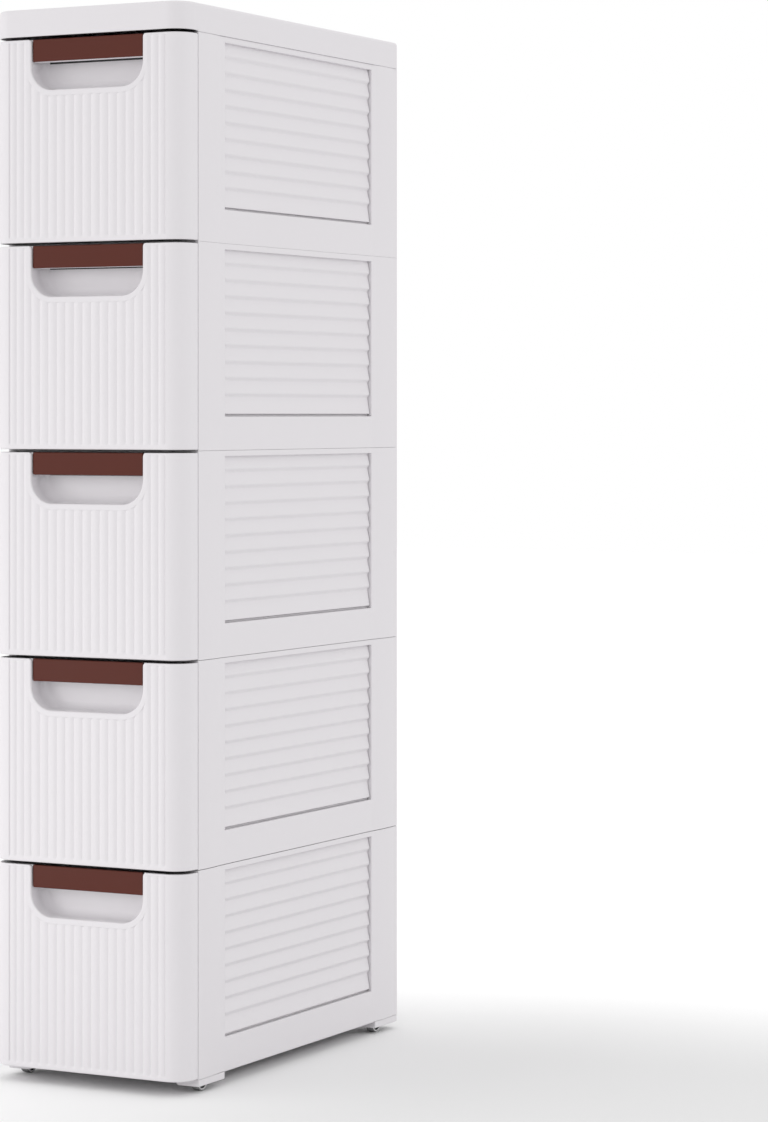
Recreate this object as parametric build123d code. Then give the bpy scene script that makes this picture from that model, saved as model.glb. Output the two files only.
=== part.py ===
from build123d import *
import os

# Slim tower of stacked drawers. Millimetres, +Z up, the drawer faces look to -Y.
# The origin is on the floor, under the middle of the tower.

# Tower
tower_width = 220.0
tier_count = 5
tier_pitch = 202.0
front_depth = 29.0          # from the face of a drawer to the side panels
panel_length = 414.7        # side panel, front edge to rear edge
base_height = 14.0          # floor to the lowest tier
hairline = 0.3              # visible joint between two mouldings
plug_gap = 0.2              # clearance round a plug, peg, tenon or lug
running_gap = 0.3           # clearance under and beside what slides
shelf_thick = 2.6
shelf_edge_inset = 3.4      # shelf edge behind the face of the side panel

# Side panels
panel_depth = 10.0          # outer face to the edge of the flanges
panel_skin = 2.0
flange_thick = 2.2
band_drop = 1.2             # plain band below the crest of the pillars
front_edge_drop = 0.5       # panel edge at the drawer, below the crest
rear_edge_drop = 0.7
front_strip = 44.0          # curved strip of the front pillar
front_crest_place = 20.0    # behind the front edge of the panel
front_pillar = 52.0
rear_pillar = 57.7
rear_strip_start = 2.0      # from the louvre field to the curved strip
rear_strip_end = 6.7        # from the curved strip to the rear edge
rear_edge_radius = 1.2
field_top = 5.8             # seam to the top of the louvre field
field_sill = 33.0           # seam to the bottom of the louvre field
field_depth = 5.0
slat_count = 10
slat_gap = 3.2              # dark slot under the lowest slat
slat_rise = 3.0             # lower edge of a slat above the floor of the field

# Rails and their stops
rail_reach = 6.0            # past the flanges, towards the drawer
rail_thick = 2.5
rail_drop = 28.8            # upper seam down to the underside of the rail
stop_place = 4.0            # behind the front edge of the panel
stop_length = 3.0
stop_reach = 2.3            # past the rail, towards the drawer
drawer_travel = 300.0

# Back panels
back_thick = 2.4
back_tongue = 4.0
back_margin = 22.0
back_step = 1.0
back_rib_count = 3
back_rib_width = 6.0

# Pegs that plug one tier into the next
peg_radius = 2.6
peg_length = 7.0
peg_chamfer = 0.65
front_peg_place = 43.0      # behind the front edge of the side panel
rear_peg_place = 11.0       # in front of its rear edge

# Shelves
beam_height = 8.0
beam_thick = 2.5
beam_setback = 2.6          # behind the front edge of the side panels

# Lid
lid_height = 28.0
lid_wall = 2.5
lid_overhang = 1.3          # past the rear edge of the side panels
lid_rear_radius = 5.0
lid_top_radius = 3.5
lid_rib_height = 12.0
lid_rib_thick = 2.0
lid_rib_count = 4
peg_lining = 2.0            # material round the pegs of the lid

# Drawer fronts
drawer_gap = 3.0            # dark gap between two fronts
gap_above_seam = 1.0        # how much of that gap lies above the seam
corner_radius = 20.0
front_wall = 3.2
return_wall = 2.5
flute_depth = 1.0
centre_flutes = 13
side_flutes = 3             # narrower flutes at each side
centre_band = 128.2         # width of the centre flutes
groove_slope = 0.8          # slope from the plain corner into the first groove

# Finger pocket and handle bar
pocket_width = 128.0
pocket_height = 50.0
pocket_radius = 24.0
pocket_depth = 22.2
pocket_wall = 2.2
pocket_round = 8.0
pocket_rim = 7.0
bar_height = 22.0
bar_setback = 2.0
bar_thick = 12.0
bar_edge_radius = 1.2
tenon_height = 10.0
tenon_thick = 6.0

# Snap lugs between a front and its tub
lug_spread = 140.0
lug_heights = (28.0, 118.0)  # above the lower edge of the front
lug_post = 10.0
lug_width = 6.0
lug_thick = 3.0
lug_barb = 1.2

# Drawer tubs
tub_wall = 2.2
tub_side_gap = 0.7          # wall of a tub to the stops on the rails
tub_taper = 3.0             # each side, from rim to bottom
tub_rear_gap = 4.7          # rim of a tub to the back panel
tub_floor_gap = 8.7         # shelf to the underside of a tub
tub_radius = 9.0
tub_floor_radius = 5.0
rim_width = 6.0
rim_thick = 2.0
rim_lip = 3.0               # wall above the rim flange
heel_length = 4.0

# Rollers
wheel_radius = 10.0
wheel_width = 8.6
wheel_play = 0.4
wheel_dish = 1.4
wheel_rim = 2.2
hub_radius = 3.6
tread_edge = 0.8
axle_radius = 1.5
axle_gap = 0.05             # wheel on its axle
axle_seat = 0.02            # axle in its housing
housing_wall = 1.4
housing_length = 25.0
socket_wall = 1.8
wheel_top_gap = 1.0
front_wheel_place = 48.5    # behind the drawer faces
rear_wheel_place = 36.0     # in front of the rear of the lid

# Base
foot_drop = 7.3             # foot block below the lowest tier
foot_width = 24.0
foot_length = 49.0
front_foot_place = 30.0     # behind the drawer faces
rear_foot_place = 3.0       # in front of the rear of the lid
foot_edge_radius = 1.0
base_rib_height = 5.0
base_rib_thick = 2.0
base_rib_count = 4

# Places that follow from the sizes
tower_depth = front_depth + panel_length + lid_overhang
face_y = -tower_depth / 2
panel_y = face_y + front_depth
panel_end_y = panel_y + panel_length
crest_x = tower_width / 2
band_x = crest_x - band_drop
side_x = crest_x - rear_edge_drop
skin_x = band_x - panel_skin
inner_x = crest_x - panel_depth
rail_x = inner_x - rail_reach
shelf_x = crest_x - shelf_edge_inset
half_shelf = shelf_thick / 2
field_y0 = panel_y + front_pillar
field_y1 = panel_end_y - rear_pillar
field_z1 = tier_pitch - field_top
field_z0 = field_sill
floor_x = band_x - field_depth
rail_height = tier_pitch - rail_drop
rail_top = rail_height + rail_thick
stop_y = panel_y + stop_place
front_low = gap_above_seam
front_high = tier_pitch - (drawer_gap - gap_above_seam)
flute_x = crest_x - corner_radius
tub_y = face_y + pocket_depth + pocket_wall
tub_x = rail_x - stop_reach - tub_side_gap
rim_z = rail_top + running_gap
tub_top = rim_z + rim_thick + rim_lip
tub_bottom = half_shelf + tub_floor_gap
tub_height = tub_top - tub_bottom
rim_end = panel_end_y - flange_thick - back_thick - tub_rear_gap
tub_end = rim_end - rim_width
bar_y = face_y + bar_setback
axle_z = wheel_radius - base_height
housing_x = wheel_width / 2 + wheel_play + housing_wall
housing_top = axle_z + wheel_radius + wheel_top_gap + housing_wall
socket_x = housing_x + plug_gap + socket_wall
socket_y = housing_length / 2 + plug_gap + socket_wall
socket_top = housing_top + plug_gap + socket_wall
wheel_x = skin_x - plug_gap - socket_x
foot_places = (face_y + front_foot_place, -face_y - rear_foot_place - foot_length)
front_wheel_y = face_y + front_wheel_place
rear_wheel_y = -face_y - rear_wheel_place
wheel_places = {
    "front_left": (-wheel_x, front_wheel_y),
    "front_right": (wheel_x, front_wheel_y),
    "rear_left": (-wheel_x, rear_wheel_y),
    "rear_right": (wheel_x, rear_wheel_y),
}
peg_x = (inner_x + skin_x) / 2
peg_places = [
    (side * peg_x, y)
    for side in (-1, 1)
    for y in (panel_y + front_peg_place, panel_end_y - rear_peg_place)
]


def block(x0, x1, y0, y1, z0, z1):
    """A box between two corners."""
    box = Box(x1 - x0, y1 - y0, z1 - z0, align=(Align.MIN, Align.MIN, Align.MIN))
    return Pos(x0, y0, z0) * box


def through(shape, y0, y1):
    """A flat shape drawn in X and Z, made solid from y0 back to y1."""
    return Pos(0, y1, 0) * extrude(Plane.XZ * shape, amount=y1 - y0)


def pegs(z0, z1):
    """Four pegs with chamfered tips between two heights."""
    group = []
    for x, y in peg_places:
        peg = Pos(x, y, (z0 + z1) / 2) * Cylinder(peg_radius, z1 - z0)
        group.append(chamfer(peg.edges().filter_by(GeomType.CIRCLE), peg_chamfer))
    return group


def peg_holes(z0, height):
    """Holes for the pegs in a flange."""
    return [Pos(x, y, z0 + height / 2) * Cylinder(peg_radius + plug_gap, height) for x, y in peg_places]


# Side panels

def panel_blank():
    """The full panel in plan with its two curved pillars, before it is hollowed."""
    front_edge = (crest_x - front_edge_drop, panel_y)
    front_crest = (crest_x, panel_y + front_crest_place)
    front_foot = (band_x, panel_y + front_strip)
    rear_foot = (band_x, field_y1 + rear_strip_start)
    rear_end = panel_end_y - rear_strip_end
    rear_crest = (crest_x, (rear_foot[1] + rear_end) / 2)
    edges = [
        ThreePointArc(front_edge, front_crest, front_foot),
        Line(front_foot, rear_foot),
        ThreePointArc(rear_foot, rear_crest, (side_x, rear_end)),
        Polyline((side_x, rear_end), (side_x, panel_end_y), (inner_x, panel_end_y),
                 (inner_x, panel_y), front_edge),
    ]
    blank = extrude(make_face(Curve() + edges), amount=tier_pitch - hairline)
    corner = blank.edges().filter_by(Axis.Z).sort_by(lambda edge: edge.center().X + edge.center().Y)[-1]
    return fillet(corner, rear_edge_radius)


def slats():
    """The sloping slats of the louvre field: each stands out furthest at its lower edge."""
    root_x = floor_x - panel_skin / 2
    pitch = (field_z1 - field_z0 - slat_gap) / slat_count
    row = []
    for number in range(slat_count):
        top = field_z1 - number * pitch
        low = top - pitch
        section = make_face(Polyline(
            (root_x, top), (floor_x, top), (floor_x + slat_rise, low), (root_x, low), close=True))
        row.append(through(section, field_y0, field_y1))
    return row


def side_panel():
    """The right-hand louvred panel with its drawer rail."""
    low = half_shelf
    high = tier_pitch - half_shelf
    hollow_y0 = panel_y + flange_thick
    hollow_y1 = panel_end_y - flange_thick
    hollow = block(inner_x, skin_x, hollow_y0, hollow_y1, low + flange_thick, high - flange_thick)
    pan = block(floor_x - panel_skin, skin_x, field_y0 - panel_skin, field_y1 + panel_skin,
                field_z0 - panel_skin, field_z1 + panel_skin)
    panel = panel_blank() - (hollow - pan)
    for z0, z1 in ((0, low), (high, tier_pitch)):
        panel -= block(inner_x, shelf_x + plug_gap, panel_y, panel_end_y, z0, z1)
    rail_end = hollow_y1 - back_thick - plug_gap
    panel += block(rail_x, skin_x + panel_skin / 2, panel_y, rail_end, rail_height, rail_top)
    panel += block(rail_x - stop_reach, rail_x + rail_thick, stop_y, stop_y + stop_length,
                   rail_height, rail_top)
    panel -= block(floor_x, crest_x, field_y0, field_y1, field_z0, field_z1)
    panel += slats()
    panel -= peg_holes(low, flange_thick)
    panel -= peg_holes(high - flange_thick, flange_thick)
    return panel


def roller_notches():
    """Room in the lowest panels for the roller sockets of the base."""
    half_x = socket_x + plug_gap
    half_y = socket_y + plug_gap
    return [
        block(x - half_x, x + half_x, y - half_y, y + half_y, 0, socket_top + plug_gap)
        for x, y in wheel_places.values()
    ]


# Back panels and shelves

def back_panel():
    """A plate behind the drawer, with tongues in the channels of the side panels."""
    rear = panel_end_y - flange_thick
    front = rear - back_thick
    half_plate = inner_x - plug_gap
    half_tongue = inner_x + back_tongue
    tongue_end = half_shelf + flange_thick + plug_gap
    plate = block(-half_plate, half_plate, front, rear, half_shelf, tier_pitch - half_shelf)
    plate += block(-half_tongue, half_tongue, front, rear, tongue_end, tier_pitch - tongue_end)
    half_field = half_plate - back_margin
    low = half_shelf + back_margin
    high = tier_pitch - low
    plate -= block(-half_field, half_field, rear - back_step, rear, low, high)
    for number in range(1, back_rib_count + 1):
        z = low + number * (high - low) / (back_rib_count + 1)
        plate += block(-half_field, half_field, rear - back_step, rear,
                       z - back_rib_width / 2, z + back_rib_width / 2)
    return plate


def seam_plate():
    """The flat plate that lies on the seam between two tiers."""
    return block(-shelf_x, shelf_x, panel_y + hairline, panel_end_y - hairline, -half_shelf, half_shelf)


def shelf():
    """A divider with a stiff front beam, and pegs up and down."""
    beam_y = panel_y + beam_setback
    half_beam = inner_x - plug_gap
    part = seam_plate() + pegs(-peg_length, peg_length)
    part += block(-half_beam, half_beam, beam_y, beam_y + beam_thick, -beam_height, 0)
    return part


# Base

def foot(y_start):
    """The right-hand foot block, flush with the side, with rounded lower edges."""
    body = block(side_x - foot_width, side_x, y_start, y_start + foot_length, -foot_drop, -hairline)
    return fillet(body.edges().group_by(Axis.Z)[0], foot_edge_radius)


def base_ribs():
    """Two long ribs and the cross ribs under the deck."""
    rib_x = side_x - foot_width
    half = base_rib_thick / 2
    y0 = foot_places[0]
    y1 = foot_places[-1] + foot_length
    low = -half_shelf - base_rib_height
    ribs = [block(side * rib_x - half, side * rib_x + half, y0, y1, low, 0) for side in (-1, 1)]
    for number in range(1, base_rib_count + 1):
        y = y0 + number * (y1 - y0) / (base_rib_count + 1)
        ribs.append(block(-rib_x, rib_x, y - half, y + half, low, 0))
    return ribs


def base():
    """Deck, ribs, feet and roller sockets."""
    part = seam_plate() + pegs(0, peg_length) + base_ribs()
    for y in foot_places:
        part += [foot(y), mirror(foot(y), Plane.YZ)]
    hole_x = socket_x - socket_wall
    hole_y = socket_y - socket_wall
    for x, y in wheel_places.values():
        part += block(x - socket_x, x + socket_x, y - socket_y, y + socket_y, 0, socket_top)
        part -= block(x - hole_x, x + hole_x, y - hole_y, y + hole_y,
                      -foot_drop, socket_top - socket_wall)
    return part


# Rollers, each about its own place with z = 0 on the lowest seam

def roller_housing():
    """A narrow cap, open below, that plugs into the base and holds the axle."""
    half_y = housing_length / 2
    cap = block(-housing_x, housing_x, -half_y, half_y, -foot_drop, housing_top)
    room_x = housing_x - housing_wall
    room_y = half_y - housing_wall
    cap -= block(-room_x, room_x, -room_y, room_y, -foot_drop, housing_top - housing_wall)
    axle_hole = Cylinder(axle_radius + axle_seat, 2 * housing_x, rotation=(0, 90, 0))
    return cap - Pos(0, 0, axle_z) * axle_hole


def roller_axle():
    """A plain steel pin."""
    return Pos(0, 0, axle_z) * Cylinder(axle_radius, 2 * housing_x, rotation=(0, 90, 0))


def roller_wheel():
    """A wheel with rounded tread edges and a dished face round its hub."""
    half = wheel_width / 2
    web = half - wheel_dish
    rim = wheel_radius - wheel_rim
    bore = axle_radius + axle_gap
    profile = make_face(Polyline(
        (-half, bore), (-half, hub_radius), (-web, hub_radius), (-web, rim), (-half, rim),
        (-half, wheel_radius - tread_edge), (-half + tread_edge, wheel_radius),
        (half - tread_edge, wheel_radius), (half, wheel_radius - tread_edge),
        (half, rim), (web, rim), (web, hub_radius), (half, hub_radius), (half, bore), close=True))
    return Pos(0, 0, axle_z) * revolve(profile, Axis.X)


# Lid

def lid_plan(inset):
    """The lid in plan: large radii at the drawer corners, small ones at the rear."""
    plan = Rectangle(2 * (crest_x - inset), tower_depth - 2 * inset)
    plan = fillet(plan.vertices().group_by(Axis.Y)[0], corner_radius - inset)
    return fillet(plan.vertices().group_by(Axis.Y)[-1], lid_rear_radius - inset)


def lid():
    """The hollow cover, its lower edge on the top seam."""
    cover = extrude(lid_plan(0), amount=lid_height)
    cover = fillet(cover.faces().sort_by(Axis.Z)[-1].edges(), lid_top_radius)
    cover -= extrude(lid_plan(lid_wall), amount=lid_height - lid_wall)
    cover -= block(-crest_x, crest_x, face_y, panel_y - hairline, 0, gap_above_seam)
    wall_x = crest_x - lid_wall / 2
    roof = lid_height - lid_wall / 2
    half_rib = lid_rib_thick / 2
    for number in range(1, lid_rib_count + 1):
        y = face_y + number * tower_depth / (lid_rib_count + 1)
        cover += block(-wall_x, wall_x, y - half_rib, y + half_rib, roof - lid_rib_height, roof)
    lined = peg_radius + peg_lining
    for y0, y1 in ((y - lined, y + lined) for x, y in peg_places if x > 0):
        for x0, x1, low in ((peg_x - lined, shelf_x, -half_shelf), (shelf_x, wall_x, 0)):
            cover += block(x0, x1, y0, y1, low, roof)
            cover += block(-x1, -x0, y0, y1, low, roof)
    return cover + pegs(-peg_length, 0)


# Drawer fronts and handle bars

def groove_places():
    """X of each groove line, from left to right."""
    half = centre_band / 2
    end = flute_x - groove_slope
    step = (flute_x - half) / side_flutes
    left = [-end] + [-flute_x + number * step for number in range(1, side_flutes)]
    centre = [-half + number * centre_band / centre_flutes for number in range(centre_flutes + 1)]
    return left + centre + [-x for x in reversed(left)]


def front_blank():
    """The front in plan, with its flutes and round corners, before it is hollowed."""
    rear = panel_y - hairline
    shoulder = face_y + corner_radius
    groove_y = face_y + flute_depth
    grooves = groove_places()
    edges = [Line((-crest_x, rear), (-crest_x, shoulder))]
    edges.append(CenterArc((-flute_x, shoulder), corner_radius, 180, 90))
    edges.append(Line((-flute_x, face_y), (grooves[0], groove_y)))
    for x0, x1 in zip(grooves, grooves[1:]):
        edges.append(ThreePointArc((x0, groove_y), ((x0 + x1) / 2, face_y), (x1, groove_y)))
    edges.append(Line((grooves[-1], groove_y), (flute_x, face_y)))
    edges.append(CenterArc((flute_x, shoulder), corner_radius, 270, 90))
    edges.append(Polyline((crest_x, shoulder), (crest_x, rear), (-crest_x, rear)))
    return extrude(Pos(0, 0, front_low) * make_face(Curve() + edges), amount=front_high - front_low)


def pocket_shape(grow, top):
    """The U of the finger pocket, grown on its sides and bottom."""
    half = pocket_width / 2 + grow
    low = front_high - pocket_height - grow
    shape = make_face(Polyline((-half, low), (half, low), (half, top), (-half, top), close=True))
    return fillet(shape.vertices().group_by(Axis.Y)[0], pocket_radius + grow)


def pocket_solid(grow, y0, y1, top):
    """The pocket as a solid with its rear edge rounded, except along the top."""
    solid = through(pocket_shape(grow, top), y0, y1)
    rear_edges = solid.faces().sort_by(Axis.Y)[-1].edges()
    rounded = rear_edges.sort_by(Axis.Z)[:-1]
    return fillet(rounded, pocket_round + grow)


def front_hollow():
    """The space behind the skin of a front."""
    half = crest_x - return_wall
    y0 = face_y + front_wall
    plan = make_face(Polyline((-half, y0), (half, y0), (half, panel_y), (-half, panel_y), close=True))
    plan = fillet(plan.vertices().group_by(Axis.Y)[0], corner_radius - front_wall)
    low = front_low + return_wall
    return extrude(Pos(0, 0, low) * plan, amount=front_high - return_wall - low)


def lug(x, z):
    """A post behind the skin, a tongue through the tub wall, and its barb."""
    wall_end = tub_y + tub_wall + plug_gap
    post = lug_post / 2
    half_w = lug_width / 2
    half_t = lug_thick / 2
    part = block(x - post, x + post, face_y + front_wall / 2, tub_y, z - post, z + post)
    part += block(x - half_w, x + half_w, tub_y, wall_end + lug_barb, z - half_t, z + half_t)
    part += block(x - half_w, x + half_w, wall_end, wall_end + lug_barb,
                  z - half_t, z + half_t + lug_barb)
    return part


def lug_places():
    """X and height of the four lugs of one drawer."""
    return [(x, front_low + z) for x in (-lug_spread / 2, lug_spread / 2) for z in lug_heights]


def tenon(gap):
    """The bar's two end tenons as one bar, or with a gap the holes for them."""
    y = bar_y + bar_thick / 2
    z = front_high - bar_height / 2
    half_x = pocket_width / 2 + pocket_wall
    half_y = tenon_thick / 2 + gap
    half_z = tenon_height / 2 + gap
    return block(-half_x, half_x, y - half_y, y + half_y, z - half_z, z + half_z)


def drawer_front():
    """Fluted skin, side returns, finger pocket with a smooth rim, and snap lugs."""
    closed_top = front_high - pocket_wall
    rim = through(pocket_shape(pocket_rim, front_high), face_y, face_y + front_wall)
    shell = pocket_solid(pocket_wall, face_y + flute_depth, tub_y, front_high)
    room = pocket_solid(0, face_y, face_y + pocket_depth, closed_top)
    bar_room = block(-pocket_width / 2, pocket_width / 2, face_y, bar_y + bar_thick + running_gap,
                     closed_top, front_high)
    part = front_blank() - front_hollow() + rim + shell
    part += [lug(x, z) for x, z in lug_places()]
    return part - room - bar_room - tenon(plug_gap)


def handle():
    """The bar across the top of the pocket, with a tenon at each end."""
    half = pocket_width / 2 - hairline
    bar = block(-half, half, bar_y, bar_y + bar_thick, front_high - bar_height, front_high)
    long_edges = bar.edges().filter_by(Axis.X)
    bar = fillet(long_edges, bar_edge_radius)
    return bar + tenon(0)


# Drawer tubs

def tub_form(wall, floor_z):
    """The tapered box of a tub above a floor, its front wall upright, moved in by a wall."""
    ends = []
    for z in (floor_z, tub_top):
        lean = tub_taper * (tub_top - z) / tub_height
        half = tub_x - wall - lean
        y0 = tub_y + wall
        y1 = tub_end - wall - lean
        plan = make_face(Polyline((-half, y0), (half, y0), (half, y1), (-half, y1), close=True))
        ends.append(Pos(0, 0, z) * fillet(plan.vertices(), tub_radius - wall))
    form = loft(ends, ruled=True)
    return fillet(form.faces().sort_by(Axis.Z)[0].edges(), tub_floor_radius - wall)


def drawer_tub():
    """The open box with its rim flanges and stop heels."""
    rim_x = tub_x + rim_width
    heel_y = stop_y + stop_length + running_gap + drawer_travel
    part = tub_form(0, tub_bottom)
    part += block(-rim_x, rim_x, tub_y, rim_end, rim_z, rim_z + rim_thick)
    part += block(-rail_x + running_gap, rail_x - running_gap, heel_y, heel_y + heel_length,
                  rail_height, rail_top)
    part -= tub_form(tub_wall, tub_bottom + tub_wall)
    half_w = lug_width / 2 + plug_gap
    half_t = lug_thick / 2 + plug_gap
    for x, z in lug_places():
        part -= block(x - half_w, x + half_w, tub_y, tub_y + tub_wall,
                      z - half_t, z + half_t + lug_barb)
    return part


def save(name, part):
    """One file for each piece."""
    part.label = name
    export_step(part, f"parts/{name}.step")


def main():
    os.makedirs("parts", exist_ok=True)
    right = side_panel()
    lowest_right = right - roller_notches()
    back = back_panel()
    divider = shelf()
    tub = drawer_tub()
    front = drawer_front()
    bar = handle()
    for number in range(1, tier_count + 1):
        place = Pos(0, 0, base_height + (tier_count - number) * tier_pitch)
        panel = lowest_right if number == tier_count else right
        save(f"side_right_{number}", place * panel)
        save(f"side_left_{number}", place * mirror(panel, Plane.YZ))
        save(f"back_{number}", place * back)
        save(f"drawer_tub_{number}", place * tub)
        save(f"drawer_front_{number}", place * front)
        save(f"handle_{number}", place * bar)
        if number < tier_count:
            save(f"shelf_{number}", place * divider)
    save("lid", Pos(0, 0, base_height + tier_count * tier_pitch) * lid())
    save("base", Pos(0, 0, base_height) * base())
    for corner, (x, y) in wheel_places.items():
        place = Pos(x, y, base_height)
        save(f"roller_housing_{corner}", place * roller_housing())
        save(f"roller_axle_{corner}", place * roller_axle())
        save(f"roller_wheel_{corner}", place * roller_wheel())


main()
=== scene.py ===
import bpy
import bmesh
import math
from mathutils import Matrix, Vector


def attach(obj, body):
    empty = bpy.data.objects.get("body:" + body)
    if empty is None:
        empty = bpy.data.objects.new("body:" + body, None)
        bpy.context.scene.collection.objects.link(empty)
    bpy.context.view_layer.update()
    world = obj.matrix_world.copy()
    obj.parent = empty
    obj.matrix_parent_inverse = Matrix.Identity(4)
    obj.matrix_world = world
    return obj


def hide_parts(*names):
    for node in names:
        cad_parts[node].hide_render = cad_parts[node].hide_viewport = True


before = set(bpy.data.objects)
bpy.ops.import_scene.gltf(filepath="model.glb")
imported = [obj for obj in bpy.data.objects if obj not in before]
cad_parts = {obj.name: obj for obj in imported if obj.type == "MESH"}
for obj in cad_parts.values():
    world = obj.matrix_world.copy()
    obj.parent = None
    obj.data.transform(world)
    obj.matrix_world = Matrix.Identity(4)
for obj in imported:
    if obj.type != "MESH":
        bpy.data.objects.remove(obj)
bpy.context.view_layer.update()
scene = bpy.context.scene
print("frame loaded:", len(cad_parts), "nodes")

tower = {
    "tiers": 5,
    "pitch": 0.202,
    "base": 0.014,          # floor to the lowest seam
    "faceY": -0.2225,
    "panelY": -0.1935,      # front edge of the side panels
    "panelEndY": 0.2212,
    "halfWidth": 0.110,
}


def seamOf(number):
    return tower["base"] + (tower["tiers"] - number) * tower["pitch"]


# ---- small mesh helpers

def placed(name, data):
    obj = bpy.data.objects.new(name, data)
    scene.collection.objects.link(obj)
    return obj


def filletPath(corners, radii, steps):
    # a run of straight lines with its corners rounded, open at both ends
    path = [Vector(corners[0])]
    for before, corner, after, radius in zip(corners, corners[1:], corners[2:], radii[1:]):
        here = Vector(corner)
        if radius <= 0:
            path.append(here)
            continue
        toBefore = (Vector(before) - here).normalized()
        toAfter = (Vector(after) - here).normalized()
        half = toBefore.angle(toAfter) / 2
        reach = radius / math.tan(half)
        middle = here + (toBefore + toAfter).normalized() * (radius / math.sin(half))
        start = here + toBefore * reach - middle
        sweep = start.angle_signed(here + toAfter * reach - middle)
        for step in range(steps + 1):
            turn = Matrix.Rotation(-sweep * step / steps, 2)
            path.append(middle + turn @ start)
    path.append(Vector(corners[-1]))
    return path


def outwards(path, closed=False):
    # for every point the direction away from the left of the walk, long enough to keep an even offset
    normals = []
    count = len(path)
    for index, here in enumerate(path):
        before = path[index - 1] if closed or index > 0 else None
        after = path[(index + 1) % count] if closed or index < count - 1 else None
        sides = []
        for start, end in ((before, here), (here, after)):
            if start is not None and end is not None and (end - start).length > 1e-7:
                along = (end - start).normalized()
                sides.append(Vector((along.y, -along.x)))
        normal = sum(sides, Vector((0, 0))).normalized()
        normals.append(normal / max(normal.dot(sides[0]), 0.3))
    return normals


def quarterTurn(steps):
    return [math.pi / 2 * step / steps for step in range(steps + 1)]


def edgeRows(low, high, radius, steps=4):
    # heights and insets of a wall whose lower and upper edges are rounded
    angles = [math.pi / 2 * (1 - step / steps) for step in range(steps + 1)]
    lower = [(low + radius * (1 - math.sin(angle)), radius * (1 - math.cos(angle))) for angle in angles]
    upper = [(high - (z - low), inset) for z, inset in reversed(lower)]
    return lower, upper


def wallRow(bm, point, normal, rows, side=1):
    # one upright row of vertices, set in from the outline by each row's inset
    return [bm.verts.new((side * (point.x - normal.x * inset), point.y - normal.y * inset, z))
            for z, inset in rows]


def gridFaces(bm, rings, closed=False, skip=()):
    # faces between neighbouring rows of vertices; skip names single faces to leave out
    count = len(rings)
    for index in range(count if closed else count - 1):
        first, second = rings[index], rings[(index + 1) % count]
        for row in range(len(first) - 1):
            if (index, row) not in skip:
                bm.faces.new((first[row], second[row], second[row + 1], first[row + 1]))


def ringEnds(bm, rings):
    # the flat faces under and over a ring of upright rows
    for row in (0, -1):
        bm.faces.new([ring[row] for ring in rings])


def bandFaces(bm, loops):
    # faces between one closed loop of vertices and the next
    for first, second in zip(loops, loops[1:]):
        for index in range(len(first)):
            after = (index + 1) % len(first)
            bm.faces.new((first[index], first[after], second[after], second[index]))


def prism(bm, outlines):
    # two equal faces and the walls between them; gives back all the edges
    ends = [bm.faces.new([bm.verts.new(place) for place in outline]) for outline in outlines]
    edges = [edge for face in ends for edge in face.edges]
    return edges + bmesh.ops.bridge_loops(bm, edges=edges)["edges"]


def roundEdges(bm, edges, radius, steps=3):
    bmesh.ops.bevel(bm, geom=edges, offset=radius, segments=steps, profile=0.5, affect="EDGES")


def roundBox(bm, low, high, radius, steps=3):
    made = bmesh.ops.create_cube(bm, size=1)["verts"]
    for vert in made:
        for axis in range(3):
            vert.co[axis] = high[axis] if vert.co[axis] > 0 else low[axis]
    edges = dict.fromkeys(edge for vert in made for edge in vert.link_edges)
    roundEdges(bm, list(edges), radius, steps)


def fillRim(bm, opening=()):
    # the flat rim between the outer and the inner skin; the opening itself stays free
    rim = [edge for edge in bm.edges if edge.is_boundary]
    made = bmesh.ops.triangle_fill(bm, use_beauty=True, use_dissolve=False, edges=rim)["geom"]
    faces = [part for part in made if isinstance(part, bmesh.types.BMFace)]
    stray = [face for face in faces if set(face.verts) <= set(opening)]
    if stray:
        bmesh.ops.delete(bm, geom=stray, context="FACES")


def meshOf(bm, name, sharpAngle=32):
    bmesh.ops.remove_doubles(bm, verts=bm.verts, dist=2e-6)
    bmesh.ops.recalc_face_normals(bm, faces=bm.faces)
    mesh = bpy.data.meshes.new(name)
    bm.to_mesh(mesh)
    bm.free()
    mesh.shade_smooth()
    mesh.set_sharp_from_angle(angle=math.radians(sharpAngle))
    return mesh


def evaluated(mesh, change):
    # the mesh after the modifiers that change adds, as a plain mesh
    holder = placed("holder", mesh)
    change(holder)
    graph = bpy.context.evaluated_depsgraph_get()
    result = bpy.data.meshes.new_from_object(holder.evaluated_get(graph))
    bpy.data.objects.remove(holder)
    return result


def flatShading(holder):
    # large flat faces rule the normals, so that rounded edges don't shade them
    holder.modifiers.new("flatShading", "WEIGHTED_NORMAL").keep_sharp = True


def piece(name, mesh, body, materials, replaced, lift=0.0):
    # one visible piece; faces keep their material index where there is more than one material
    mesh = mesh.copy()
    mesh.name = name
    mesh.transform(Matrix.Translation((0, 0, lift)))
    finished = [polygon.material_index for polygon in mesh.polygons] if len(materials) > 1 else None
    mesh.materials.clear()
    for material in materials:
        mesh.materials.append(material)
    if finished:
        mesh.polygons.foreach_set("material_index", finished)
    obj = placed(name, mesh)
    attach(obj, body)
    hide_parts(*replaced)


# ---- node helpers

def addNode(tree, kind, **settings):
    node = tree.nodes.new(kind)
    for key, value in settings.items():
        setattr(node, key, value)
    return node


def feed(tree, socket, value):
    if isinstance(value, bpy.types.NodeSocket):
        tree.links.new(value, socket)
    else:
        socket.default_value = value


def fill(tree, node, values):
    # values by the sockets' labels, with a low line for each space
    for label, value in values.items():
        feed(tree, node.inputs[label.replace("_", " ")], value)
    return node


def wired(tree, kind, **values):
    return fill(tree, tree.nodes.new(kind), values)


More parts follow.
